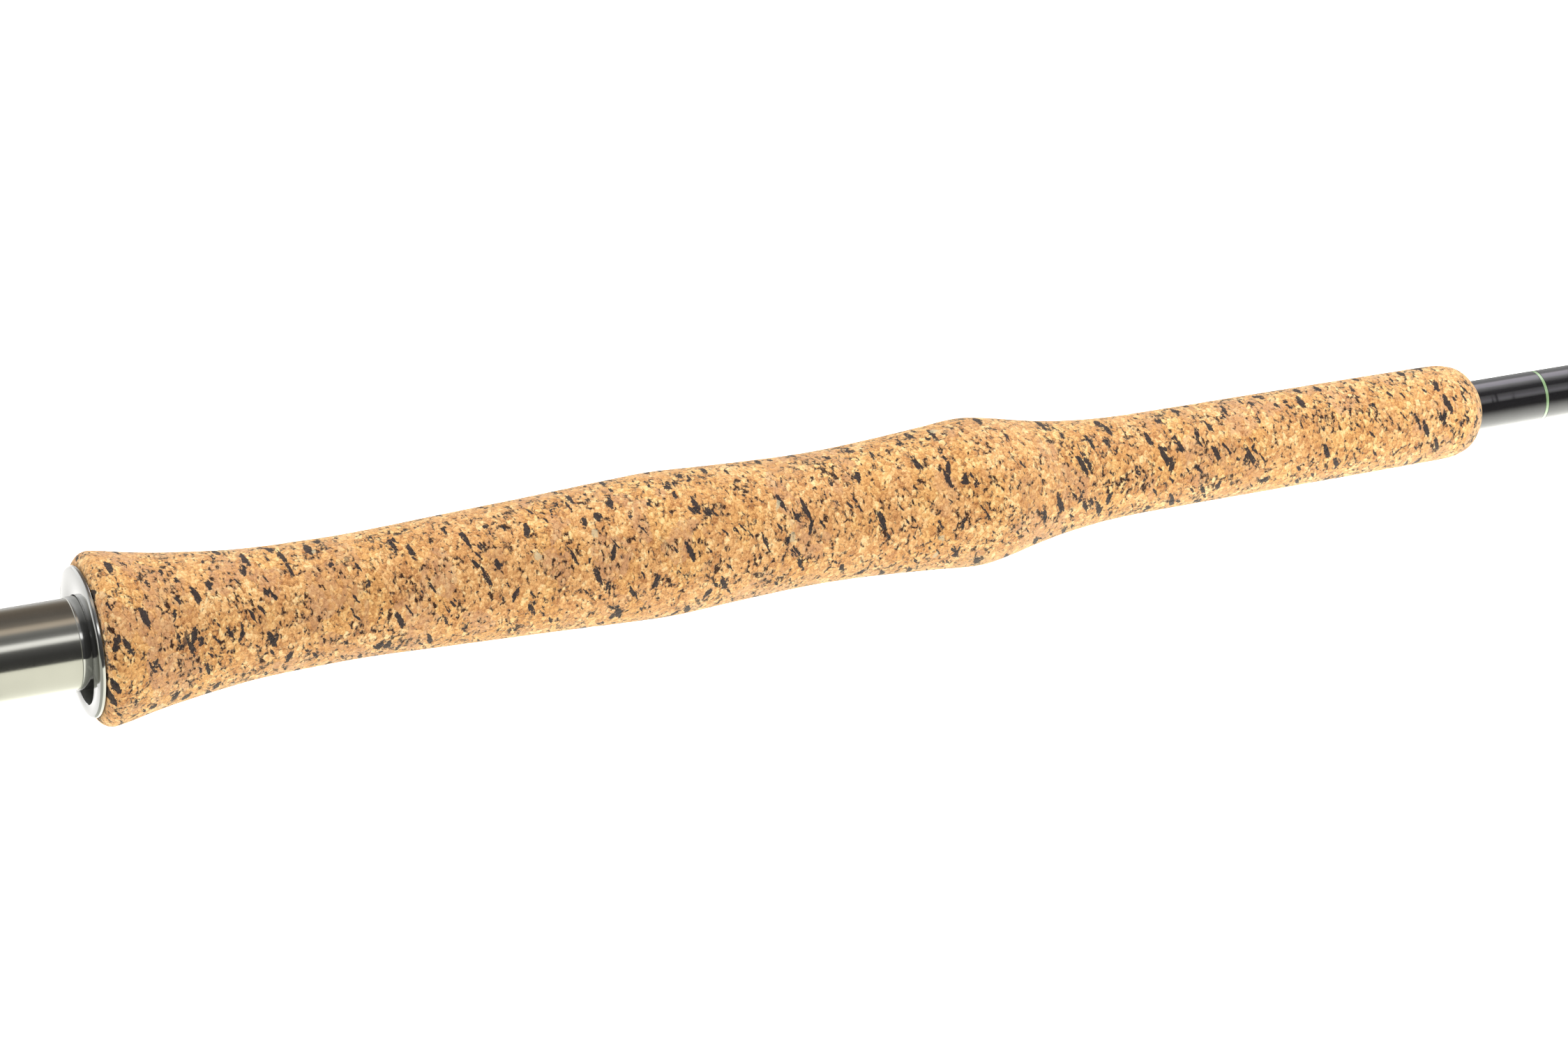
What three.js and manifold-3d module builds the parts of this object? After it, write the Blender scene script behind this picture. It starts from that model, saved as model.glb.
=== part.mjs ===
// The butt section of a two-handed fly rod: lower grip, screw-locking reel seat, long shaped foregrip,
// thread windings, a stripping guide and the bare end that takes the next section.
// Millimetres, +Z up. The rod's axis is X: the origin is on it, in the face of the fixed reel hood, and +X
// runs to the tip. The reel side, with the hood pockets and the guide, is -Z.
import * as THREE from "three";
import { mergeVertices } from "three/addons/utils/BufferGeometryUtils.js";
import Module from "manifold-3d";

const wasm = await Module();
wasm.setup();

// Driving dimensions
const GAP = 0.3; // between pieces that sit face to face
const BOND = 0.12; // glue line under a winding

const BUTT_FACE = -262;
const SECTION_END = 548;
const BUTT_COLLAR = { rear: -246.3, front: -242.3, r: 17.4 };
const PLUG = { head: -255.8, headR: 6.8, stem: -232, stemR: 5.1 };

const BLANK_REAR = -250;
const BLANK_REAR_R = 6.75;
const BLANK_TAPER = 0.00228; // radius lost per millimetre
const BLANK_WALL = 1.3;
const FERRULE_START = 490; // ground down a little from here, for the next section's socket
const FERRULE_STEP = 0.12;

const BARREL_R = 9.75;
const BARREL_WALL = 1.5;
const BARREL_REAR = -116;
const BARREL_FRONT = 24;
const KEYWAY = { rear: -113, front: -36, width: 3.2, depth: 0.8 };
const ARBORS = { arbor_rear: -112, arbor_middle: -56, arbor_front: 0 }; // where each bush starts
const ARBOR_LENGTH = 20;
const END_RING = { rear: -120.3, front: BARREL_REAR - GAP, r: 14.1, noseR: 12.7 };
const RUNNING_R = BARREL_R + GAP; // bore of everything that moves on the barrel

const RIM_R = 16.2; // fixed hood: its flange
const RIM_LENGTH = 1.2;
const POCKET_R = 9.9; // both hoods: the eccentric bore that takes an end of the reel foot
const POCKET_OFFSET = 3.64;
const CUP_R = 14.2;
const CUP_DEPTH = 17;
const POCKET_DEPTH = 14;

const SLIDING_HOOD = { rear: -86, front: -62, r: 13.1, collar: 11, mouthR: 13.2, mouthOffset: 2 };
const MOUTH_TOP = -70; // the sliding hood's mouth leans back to here on the side away from the reel
const KEY = { x: -80.5, r: 1.3, tip: -9.3, head: -12.7, socketR: 0.65 };
const SLIP_RING = { rear: -87.9, front: -86.3, r: 12.6 };
const LOCK_NUT = { rear: -100.2, front: -88.2, r: 13.6, collarR: 12.3, collar: 2.6, flutes: 20 };
const JAM_WASHER = { rear: -104.1, front: -102.9, r: 12.2 };
const JAM_NUT = { rear: -112.4, front: -104.4, r: 13.3, collarR: 12.3, collar: 1.6, flutes: 20 };
const FLUTE_R = 0.75;
const FLUTE_INSET = 0.15; // how far outside the nut's rim a flute's centre lies

const GRIP_LENGTH = 332.2; // from the hood's face to the foregrip's front end
const BAND = 350.2; // middle of the first coloured band
const BAND_WIDTH = 0.7;
const WRAP_THICK = 0.38;
const GRIP_WRAP_END = 372;

const GUIDE_X = 440;
const GUIDE_DROP = 18.5; // from the rod's axis to the middle of the guide's ring
const EYE_R = 6.3; // the ring's hole
const CERAMIC_R = 8;
const CERAMIC_WIDTH = 2.6;
const FRAME_R = 8.9;
const FRAME_RING_WIDTH = 1.2;
const WIRE_R = 0.65;
const FOOT = { heel: 13, tip: 26, width: 2.8, top: -5.36, bottom: -6.3, tipBottom: -5.7, taper: 3 };
const FOOT_WRAP = { near: FOOT.heel + 1.5, far: FOOT.tip + 3 };
const BULGE = { extra: 2.5, halfWidth: 2.9, halfHeight: 1.9, z: -5.2 }; // winding humped over a foot
const FERRULE_WRAP = { rear: 474, front: 486 };
const DOT = { x: 492.5, r: 1.1, thick: 0.2 };

const ROUND = 32; // sides of a large turned piece
const SMALL = 24;

const FINISH = {
  cork: { color: 0xc9975c, roughness: 0.85, metalness: 0 },
  gunmetal: { color: 0x4f4a46, roughness: 0.3, metalness: 1 },
  polished: { color: 0xd8dad8, roughness: 0.12, metalness: 1 },
  carbon: { color: 0x15161a, roughness: 0.35, metalness: 0 },
  winding: { color: 0x08080a, roughness: 0.08, metalness: 0 },
  band: { color: 0x9fd08a, roughness: 0.15, metalness: 0 },
  rubber: { color: 0x1c1b1a, roughness: 0.8, metalness: 0 },
  nylon: { color: 0x24231f, roughness: 0.5, metalness: 0 },
  arbor: { color: 0x8a7f6c, roughness: 0.9, metalness: 0 },
  ceramic: { color: 0x2b2e33, roughness: 0.1, metalness: 0 },
  steel: { color: 0x3a3c40, roughness: 0.25, metalness: 1 },
};

const rod = new THREE.Group();

// Geometry helpers
const blankRadius = (x) => BLANK_REAR_R - BLANK_TAPER * (x - BLANK_REAR);

// Turns a profile of [x, radius] points about the rod's axis: forwards along the bore, back along the
// outside. It closes on itself, unless it starts and ends on the axis.
function turned(profile, sides = ROUND) {
  const points = profile.map(([x, r]) => new THREE.Vector2(r, x)).reverse();
  if (points[0].x > 0) points.push(points[0].clone());
  return new THREE.LatheGeometry(points, sides).rotateZ(-Math.PI / 2);
}

// A plain ring or tube from x0 to x1, with its outer edges broken by a small chamfer.
function ring(x0, x1, inner, outer, sides = ROUND, chamfer = 0.2) {
  return turned(
    [
      [x0, inner],
      [x1, inner],
      [x1, outer - chamfer],
      [x1 - chamfer, outer],
      [x0 + chamfer, outer],
      [x0, outer - chamfer],
    ],
    sides,
  );
}

function rodAlongX(x0, x1, radius, sides = SMALL, z = 0) {
  return new THREE.CylinderGeometry(radius, radius, x1 - x0, sides)
    .rotateZ(-Math.PI / 2)
    .translate((x0 + x1) / 2, 0, z);
}

function pinAlongZ(x, z0, z1, radius, sides = 16) {
  return new THREE.CylinderGeometry(radius, radius, z1 - z0, sides)
    .rotateX(Math.PI / 2)
    .translate(x, 0, (z0 + z1) / 2);
}

function block(x0, x1, y0, y1, z0, z1) {
  return new THREE.BoxGeometry(x1 - x0, y1 - y0, z1 - z0).translate(
    (x0 + x1) / 2,
    (y0 + y1) / 2,
    (z0 + z1) / 2,
  );
}

// Booleans
function solid(geometry) {
  const bare = geometry.clone();
  bare.deleteAttribute("normal");
  bare.deleteAttribute("uv");
  const merged = mergeVertices(bare, 1e-4);
  return new wasm.Manifold(
    new wasm.Mesh({
      numProp: 3,
      vertProperties: merged.attributes.position.array,
      triVerts: new Uint32Array(merged.index.array),
    }),
  );
}

const joined = (...geometries) => geometries.map(solid).reduce((sum, next) => sum.add(next));

const cut = (body, ...tools) => tools.map(solid).reduce((left, tool) => left.subtract(tool), body);

function geometryOf(body) {
  const mesh = body.getMesh();
  const geometry = new THREE.BufferGeometry();
  geometry.setAttribute("position", new THREE.BufferAttribute(new Float32Array(mesh.vertProperties), 3));
  geometry.setIndex(new THREE.BufferAttribute(new Uint32Array(mesh.triVerts), 1));
  geometry.computeVertexNormals();
  return geometry;
}

function add(name, finish, shape) {
  const geometry = shape.isBufferGeometry ? shape : geometryOf(shape);
  const mesh = new THREE.Mesh(geometry, new THREE.MeshStandardMaterial(FINISH[finish]));
  mesh.name = name;
  rod.add(mesh);
}

// Blank: a tapered tube, open at both ends
const shoulder = blankRadius(FERRULE_START);
const endRadius = blankRadius(SECTION_END) - FERRULE_STEP;
add(
  "blank",
  "carbon",
  turned([
    [BLANK_REAR, BLANK_REAR_R - BLANK_WALL],
    [SECTION_END, endRadius - BLANK_WALL],
    [SECTION_END, endRadius],
    [FERRULE_START + FERRULE_STEP, shoulder - FERRULE_STEP],
    [FERRULE_START, shoulder],
    [BLANK_REAR, BLANK_REAR_R],
  ]),
);

// Butt: cap, plug and collar
const capFront = BUTT_COLLAR.rear - GAP;
const recessR = BLANK_REAR_R + GAP;
add(
  "butt_cap",
  "rubber",
  turned([
    [PLUG.head - GAP, 0],
    [PLUG.head - GAP, recessR],
    [capFront, recessR],
    [capFront, 17],
    [-250.5, 17.3],
    [-255, 17],
    [-258.8, 15.9],
    [-261.2, 14],
    [BUTT_FACE, 12],
    [BUTT_FACE, 0],
  ]),
);
add(
  "butt_plug",
  "nylon",
  turned(
    [
      [PLUG.stem, 0],
      [PLUG.stem, PLUG.stemR - 0.7],
      [PLUG.stem - 1, PLUG.stemR - 0.1],
      [BLANK_REAR - GAP, PLUG.stemR],
      [BLANK_REAR - GAP, PLUG.headR],
      [PLUG.head, PLUG.headR],
      [PLUG.head, 0],
    ],
    SMALL,
  ),
);
const collarChamfer = 0.5;
add(
  "butt_collar",
  "polished",
  ring(BUTT_COLLAR.rear, BUTT_COLLAR.front, recessR, BUTT_COLLAR.r, ROUND, collarChamfer),
);

// Lower grip and the ring between it and the reel seat
const lowerRear = BUTT_COLLAR.front + GAP;
const lowerFront = END_RING.rear - GAP;
const lowerShape = new THREE.SplineCurve(
  [
    [lowerRear, 16.9],
    [-236, 17.1],
    [-226, 16.1],
    [-208, 14.4],
    [-182, 13.4],
    [-156, 13.8],
    [-134, 14.6],
    [lowerFront - 3, 14.6],
    [lowerFront, 13.9],
  ].map(([x, r]) => new THREE.Vector2(x, r)),
);
const lowerBore = blankRadius(lowerRear) + GAP;
add(
  "lower_grip",
  "cork",
  turned([
    [lowerRear, lowerBore],
    [lowerFront, lowerBore],
    ...lowerShape.getPoints(14).reverse().map((p) => [p.x, p.y]),
  ]),
);
add(
  "seat_end_ring",
  "gunmetal",
  turned([
    [END_RING.rear, lowerBore],
    [END_RING.front, lowerBore],
    [END_RING.front, END_RING.noseR - 0.5],
    [END_RING.front - 0.5, END_RING.noseR],
    [END_RING.rear + 0.8, END_RING.r],
    [END_RING.rear, END_RING.r],
  ]),
);

// Reel seat: barrel with its keyway, and the bushes that centre it on the blank
const barrelBore = BARREL_R - BARREL_WALL;
add(
  "seat_barrel",
  "gunmetal",
  cut(
    solid(ring(BARREL_REAR, BARREL_FRONT, barrelBore, BARREL_R)),
    block(
      KEYWAY.rear,
      KEYWAY.front,
      -KEYWAY.width / 2,
      KEYWAY.width / 2,
      -BARREL_R - 1,
      -BARREL_R + KEYWAY.depth,
    ),
  ),
);
for (const [name, x] of Object.entries(ARBORS)) {
  const inner = blankRadius(x) + GAP;
  add(name, "arbor", ring(x, x + ARBOR_LENGTH, inner, barrelBore - GAP, SMALL, 0.1));
}

// Fixed hood: a flange in the foregrip's rear face, with a cup behind it
const pocket = (x0, x1) => rodAlongX(x0, x1, POCKET_R, ROUND, -POCKET_OFFSET);
add(
  "fore_hood",
  "polished",
  cut(
    solid(
      turned([
        [0, RUNNING_R],
        [CUP_DEPTH, RUNNING_R],
        [CUP_DEPTH, CUP_R - 0.5],
        [CUP_DEPTH - 0.5, CUP_R],
        [RIM_LENGTH, CUP_R],
        [RIM_LENGTH, RIM_R],
        [0.3, RIM_R],
        [0, RIM_R - 0.3],
      ]),
    ),
    pocket(-1, POCKET_DEPTH),
  ),
);

// Sliding hood, its key screw and the slip ring behind it
const { rear: hoodRear, front: hoodFront, collar: hoodCollar } = SLIDING_HOOD;
const mouthLean = Math.atan2(hoodFront - MOUTH_TOP, 2 * SLIDING_HOOD.mouthR);
const mouthCut = block(0, 40, -20, 20, -40, 40)
  .rotateY(mouthLean)
  .translate(hoodFront, 0, -SLIDING_HOOD.mouthR - SLIDING_HOOD.mouthOffset);
add(
  "sliding_hood",
  "gunmetal",
  cut(
    joined(
      ring(hoodRear, hoodRear + hoodCollar, RUNNING_R - 1, SLIDING_HOOD.r, ROUND, 0.4),
      rodAlongX(hoodRear + hoodCollar - 2, hoodFront, SLIDING_HOOD.mouthR, ROUND, -SLIDING_HOOD.mouthOffset),
    ),
    rodAlongX(hoodRear - 1, hoodFront + 1, RUNNING_R, ROUND),
    pocket(hoodRear + hoodCollar + 0.5, hoodFront + 1),
    mouthCut,
    pinAlongZ(KEY.x, -15, -9, KEY.r + GAP),
  ),
);
add(
  "hood_key",
  "steel",
  cut(
    solid(pinAlongZ(KEY.x, KEY.head, KEY.tip, KEY.r)),
    pinAlongZ(KEY.x, KEY.head - 1, KEY.head + 1, KEY.socketR, 6),
  ),
);
add("slip_ring", "nylon", ring(SLIP_RING.rear, SLIP_RING.front, RUNNING_R, SLIP_RING.r, SMALL));

// Nuts: fluted rings with a plain collar towards the hood
function nut({ rear, front, r, collarR, collar, flutes }) {
  const collarEdge = 0.3;
  const edge = 0.5;
  const body = solid(
    turned([
      [rear, RUNNING_R],
      [front, RUNNING_R],
      [front, collarR - collarEdge],
      [front - collarEdge, collarR],
      [front - collar, collarR],
      [front - collar, r - edge],
      [front - collar - edge, r],
      [rear + edge, r],
      [rear, r - edge],
    ]),
  );
  const grooves = Array.from({ length: flutes }, (_, i) =>
    rodAlongX(rear - 1, front - collar, FLUTE_R, 6, -r - FLUTE_INSET).rotateX((i / flutes) * 2 * Math.PI),
  );
  return cut(body, ...grooves);
}
add("lock_nut", "gunmetal", nut(LOCK_NUT));
add("jam_washer", "polished", ring(JAM_WASHER.rear, JAM_WASHER.front, RUNNING_R, JAM_WASHER.r, SMALL));
add("jam_nut", "gunmetal", nut(JAM_NUT));

// Foregrip: a flared rear edge, two swells and a slim front with a rounded end
const gripRear = RIM_LENGTH + GAP;
const rearEdge = [
  [gripRear, 16.4],
  [1.9, 17.3],
  [2.5, 18],
  [3.3, 18.5],
];
const gripSwells = new THREE.SplineCurve(
  [
    [4.3, 18.7],
    [7.5, 18.2],
    [13, 17.05],
    [22, 15.6],
    [36, 14],
    [50, 13.5],
    [62, 13.45],
    [80, 14.1],
    [104, 15],
    [120, 15.7],
    [131, 15.95],
    [145, 15.25],
    [163, 14.6],
    [176, 14.85],
    [192, 15.85],
    [201, 16.6],
    [206, 16.55],
    [212, 15.5],
    [220, 13.8],
    [229, 12.4],
    [240, 11.5],
    [256, 11.27],
    [290, 11.15],
    [312, 11.03],
    [324, 10.89],
  ].map(([x, r]) => new THREE.Vector2(x, r)),
);
const frontEnd = [
  [327.1, 10.4],
  [329, 9.75],
  [330.4, 8.75],
  [331.4, 7.6],
  [GRIP_LENGTH, 6.6],
];
const SWELL_STEPS = 34;
const foregripOutline = [
  ...rearEdge,
  ...gripSwells.getPoints(SWELL_STEPS).map((p) => [p.x, p.y]),
  ...frontEnd,
];
add(
  "foregrip",
  "cork",
  turned(
    [
      [gripRear, CUP_R + GAP],
      [CUP_DEPTH + GAP, CUP_R + GAP],
      [CUP_DEPTH + GAP, RUNNING_R],
      [BARREL_FRONT + GAP, RUNNING_R],
      [BARREL_FRONT + GAP, blankRadius(BARREL_FRONT) + GAP],
      [GRIP_LENGTH, blankRadius(GRIP_LENGTH) + GAP],
      ...foregripOutline.reverse(),
    ],
    ROUND,
  ),
);

// Windings: black thread under epoxy, with coloured bands let into them
function winding(name, finish, x0, x1, outer = blankRadius(x0) + BOND + WRAP_THICK) {
  add(name, finish, ring(x0, x1, blankRadius(x0) + BOND, outer, SMALL, 0.1));
}
const bandRear = BAND - BAND_WIDTH / 2;
const bandFront = BAND + BAND_WIDTH / 2;
winding("grip_wrap", "winding", GRIP_LENGTH + GAP, bandRear - BOND);
winding("grip_band", "band", bandRear, bandFront);
winding("grip_wrap_front", "winding", bandFront + BOND, GRIP_WRAP_END);
winding("ferrule_wrap", "winding", FERRULE_WRAP.rear, FERRULE_WRAP.front);
winding("ferrule_band", "band", FERRULE_WRAP.front + BOND, FERRULE_WRAP.front + BOND + BAND_WIDTH);

// Stripping guide: ceramic ring in a frame with one leg behind and two in front
const guideCentre = -GUIDE_DROP;
const half = CERAMIC_WIDTH / 2;
const RING_SECTION_SIDES = 10;
const ceramicProfile = Array.from({ length: RING_SECTION_SIDES }, (_, i) => {
  const turn = (i / RING_SECTION_SIDES) * 2 * Math.PI;
  return [half * Math.cos(turn), (EYE_R + CERAMIC_R) / 2 + ((CERAMIC_R - EYE_R) / 2) * Math.sin(turn)];
});
add("guide_ring", "ceramic", turned(ceramicProfile, SMALL).translate(GUIDE_X, 0, guideCentre));

const wireSection = new THREE.Shape().absarc(0, 0, WIRE_R, 0, 2 * Math.PI);
function leg(...points) {
  const path = new THREE.CatmullRomCurve3(points.map(([x, y, z]) => new THREE.Vector3(x, y, z)));
  return new THREE.ExtrudeGeometry(wireSection, { steps: 10, curveSegments: 4, extrudePath: path });
}
// A foot lies along the blank: thick at the heel, thin at the tip. side is -1 behind the ring, 1 in front.
function foot(side) {
  const outline = new THREE.Shape([
    new THREE.Vector2(GUIDE_X + side * FOOT.heel, FOOT.top),
    new THREE.Vector2(GUIDE_X + side * FOOT.tip, FOOT.top),
    new THREE.Vector2(GUIDE_X + side * FOOT.tip, FOOT.tipBottom),
    new THREE.Vector2(GUIDE_X + side * (FOOT.heel + FOOT.taper), FOOT.bottom),
    new THREE.Vector2(GUIDE_X + side * FOOT.heel, FOOT.bottom),
  ]);
  return new THREE.ExtrudeGeometry(outline, { depth: FOOT.width, bevelEnabled: false })
    .translate(0, 0, -FOOT.width / 2)
    .rotateX(Math.PI / 2);
}
const heelZ = FOOT.bottom + 0.25;
const rearHeel = GUIDE_X - FOOT.heel;
const frontHeel = GUIDE_X + FOOT.heel;
const rearLeg = leg(
  [rearHeel - 1, 0, heelZ],
  [rearHeel + 4, 0, -6.9],
  [GUIDE_X - 3, 0, -8.8],
  [GUIDE_X, 0, guideCentre + FRAME_R],
);
const frontLeg = (side) =>
  leg(
    [frontHeel + 1, side * 0.5, heelZ],
    [frontHeel - 3, side * 2.6, -8],
    [GUIDE_X + 4, side * 6.9, -12.3],
    [GUIDE_X, side * FRAME_R, guideCentre + 1],
  );
add(
  "guide_frame",
  "steel",
  joined(
    ring(-FRAME_RING_WIDTH / 2, FRAME_RING_WIDTH / 2, CERAMIC_R + 0.12, FRAME_R, SMALL, 0.15).translate(
      GUIDE_X,
      0,
      guideCentre,
    ),
    foot(-1),
    foot(1),
    rearLeg,
    frontLeg(-1),
    frontLeg(1),
  ),
);

// The windings over the guide's feet bulge over them
function footWinding(name, x0, x1) {
  const inner = blankRadius(x0) + BOND;
  const outer = inner + WRAP_THICK;
  const bulge = new THREE.SphereGeometry(1, 20, 12)
    .scale((x1 - x0) / 2 + BULGE.extra, BULGE.halfWidth, BULGE.halfHeight)
    .translate((x0 + x1) / 2, 0, BULGE.z);
  const over = solid(bulge).intersect(solid(block(x0, x1, -outer, outer, -2 * outer, 0)));
  const side = FOOT.width / 2 + BOND;
  const footSpace = block(x0 - 1, x1 + 1, -side, side, FOOT.bottom - 0.15, -4);
  add(
    name,
    "winding",
    cut(solid(rodAlongX(x0, x1, outer)).add(over), rodAlongX(x0 - 1, x1 + 1, inner), footSpace),
  );
}
footWinding("guide_rear_wrap", GUIDE_X - FOOT_WRAP.far, GUIDE_X - FOOT_WRAP.near);
footWinding("guide_front_wrap", GUIDE_X + FOOT_WRAP.near, GUIDE_X + FOOT_WRAP.far);
const rearBand = GUIDE_X - FOOT_WRAP.far - BOND;
const frontBand = GUIDE_X + FOOT_WRAP.far + BOND;
winding("guide_rear_band", "band", rearBand - BAND_WIDTH, rearBand);
winding("guide_front_band", "band", frontBand, frontBand + BAND_WIDTH);

// Alignment dot, on top of the blank at the ferrule
const dotFloor = blankRadius(DOT.x);
add("ferrule_dot", "band", pinAlongZ(DOT.x, dotFloor, dotFloor + DOT.thick, DOT.r));

export default rod;
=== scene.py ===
import math

import bpy
import bmesh
import numpy as np
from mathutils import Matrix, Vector, noise


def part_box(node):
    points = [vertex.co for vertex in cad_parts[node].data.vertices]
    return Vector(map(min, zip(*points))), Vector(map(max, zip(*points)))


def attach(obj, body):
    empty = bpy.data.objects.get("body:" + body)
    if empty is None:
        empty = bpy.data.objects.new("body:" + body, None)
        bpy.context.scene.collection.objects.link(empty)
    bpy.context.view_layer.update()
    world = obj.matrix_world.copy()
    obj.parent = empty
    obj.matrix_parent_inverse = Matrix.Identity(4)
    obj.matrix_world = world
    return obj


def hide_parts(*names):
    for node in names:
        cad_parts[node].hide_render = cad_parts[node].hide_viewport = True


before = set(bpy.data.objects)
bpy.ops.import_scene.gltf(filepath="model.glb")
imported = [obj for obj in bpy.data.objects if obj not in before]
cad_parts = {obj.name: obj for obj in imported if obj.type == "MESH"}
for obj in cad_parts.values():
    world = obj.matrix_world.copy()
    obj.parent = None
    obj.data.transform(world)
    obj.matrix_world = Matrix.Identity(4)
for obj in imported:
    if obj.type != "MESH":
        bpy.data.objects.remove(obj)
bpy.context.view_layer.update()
MM = 0.001
TAU = 2 * math.pi


# ---------------------------------------------------------------- camera
TARGET = Vector((0.1595, 0.0, 0.0))
CAMERA_AZIMUTH = math.radians(-22.78)
CAMERA_ELEVATION = math.radians(23.8)
CAMERA_DISTANCE = 1.076
LENS, SENSOR_WIDTH = 112.1, 36  # millimetres


def make_camera():
    data = bpy.data.cameras.new("camera")
    data.lens = LENS
    data.sensor_width = SENSOR_WIDTH
    data.clip_start = 0.01
    camera = bpy.data.objects.new("camera", data)
    bpy.context.scene.collection.objects.link(camera)
    level = math.cos(CAMERA_ELEVATION)
    direction = Vector(
        (
            math.sin(CAMERA_AZIMUTH) * level,
            -math.cos(CAMERA_AZIMUTH) * level,
            math.sin(CAMERA_ELEVATION),
        )
    )
    camera.location = TARGET + direction * CAMERA_DISTANCE
    camera.rotation_euler = (-direction).to_track_quat("-Z", "Y").to_euler()
    bpy.context.scene.camera = camera


# ---------------------------------------------------------------- node helpers
class Tree:
    """Builds a node tree with short calls. A value given to an input is a socket to link, or a constant."""

    def __init__(self, owner):
        owner.use_nodes = True
        self.tree = owner.node_tree
        self.tree.nodes.clear()

    def put(self, socket, value):
        if isinstance(value, bpy.types.NodeSocket):
            self.tree.links.new(value, socket)
        elif value is not None:
            if socket.type == "RGBA" and len(value) == 3:
                value = (*value, 1.0)
            socket.default_value = value

    def node(self, kind, inputs=None, **settings):
        made = self.tree.nodes.new(kind)
        for name, value in settings.items():
            setattr(made, name, value)
        for name, value in (inputs or {}).items():
            self.put(made.inputs[name], value)
        return made

    def math(self, operation, a, b=None, c=None):
        made = self.node("ShaderNodeMath", operation=operation)
        for socket, value in zip(made.inputs, (a, b, c)):
            self.put(socket, value)
        return made.outputs[0]

    def plus(self, start, *terms):
        """start with each value added times its weight."""
        for value, weight in terms:
            start = self.math("MULTIPLY_ADD", value, weight, start)
        return start

    def vector(self, operation, a, b=None, scale=None):
        made = self.node("ShaderNodeVectorMath", operation=operation)
        self.put(made.inputs[0], a)
        self.put(made.inputs[1], b)
        if scale is not None:
            self.put(made.inputs["Scale"], scale)
        return made.outputs[0]

    def mix(self, factor, a, b, blend="MIX"):
        """Two colours mixed. Inputs 6 and 7 and output 2 are the node's colour sockets."""
        made = self.node("ShaderNodeMix", data_type="RGBA", blend_type=blend)
        self.put(made.inputs[0], factor)
        self.put(made.inputs[6], a)
        self.put(made.inputs[7], b)
        return made.outputs[2]

    def step(self, value, low, high):
        """0 below low, 1 above high, smooth between; the other way round if low is the larger."""
        made = self.node("ShaderNodeMapRange", interpolation_type="SMOOTHSTEP")
        for socket, v in zip(made.inputs, (value, low, high, 0.0, 1.0)):
            self.put(socket, v)
        return made.outputs[0]

    def span(self, value, low, high):
        """A value from 0 to 1 mapped straight to low..high."""
        made = self.node("ShaderNodeMapRange")
        for socket, v in zip(made.inputs, (value, 0.0, 1.0, low, high)):
            self.put(socket, v)
        return made.outputs[0]

    def ramp(self, value, *stops):
        made = self.node("ShaderNodeValToRGB", {"Fac": value})
        elements = made.color_ramp.elements
        while len(elements) < len(stops):
            elements.new(0.5)
        for element, (place, colour) in zip(elements, stops):
            element.position = place
            element.color = (*colour, 1.0)
        return made.outputs[0]

    def noise(self, vector, scale, detail=2.0, rough=0.5, output=0):
        """Output 0 is one value, and output 1 a colour, used as three values."""
        made = self.node(
            "ShaderNodeTexNoise",
            {"Vector": vector, "Scale": scale, "Detail": detail, "Roughness": rough},
        )
        return made.outputs[output]

    def cells(self, vector, scale, feature="F1"):
        made = self.node("ShaderNodeTexVoronoi", {"Vector": vector, "Scale": scale}, feature=feature)
        return made.outputs

    def channels(self, colour):
        return self.node("ShaderNodeSeparateColor", {"Color": colour}).outputs

    def axes(self, vector):
        return self.node("ShaderNodeSeparateXYZ", {"Vector": vector}).outputs

    def place(self):
        """The point on the object, in metres."""
        return self.node("ShaderNodeTexCoord").outputs["Object"]

    def millimetres(self):
        return self.vector("SCALE", self.place(), scale=1 / MM)

    def warp(self, vector, scale, amount):
        """The vector pushed about by noise, so that cells made from it get ragged edges."""
        shift = self.vector("SUBTRACT", self.noise(vector, scale, output=1), (0.5, 0.5, 0.5))
        return self.vector("ADD", vector, self.vector("SCALE", shift, scale=amount))

    def bump(self, height, distance, strength):
        """The normal of a surface that rises by distance, in metres, where height is 1."""
        return self.node(
            "ShaderNodeBump", {"Height": height, "Distance": distance, "Strength": strength}
        ).outputs[0]

    def surface(self, **inputs):
        """The Principled shader and the output. Names are the sockets' names with _ for a space."""
        named = {k.replace("_", " "): v for k, v in inputs.items()}
        shader = self.node("ShaderNodeBsdfPrincipled", named)
        self.node("ShaderNodeOutputMaterial", {"Surface": shader.outputs[0]})

    def lamp(self, colour, strength=1.0):
        """The Emission shader and the output."""
        shader = self.node("ShaderNodeEmission", {"Color": colour, "Strength": strength})
        self.node("ShaderNodeOutputMaterial", {"Surface": shader.outputs[0]})


def srgb(red, green, blue):
    """Linear colour from 0-255 values."""
    return tuple(
        c / 12.92 if c <= 0.04045 else ((c + 0.055) / 1.055) ** 2.4
        for c in (red / 255, green / 255, blue / 255)
    )


def material(name):
    made = bpy.data.materials.new(name)
    return made, Tree(made)


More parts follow.
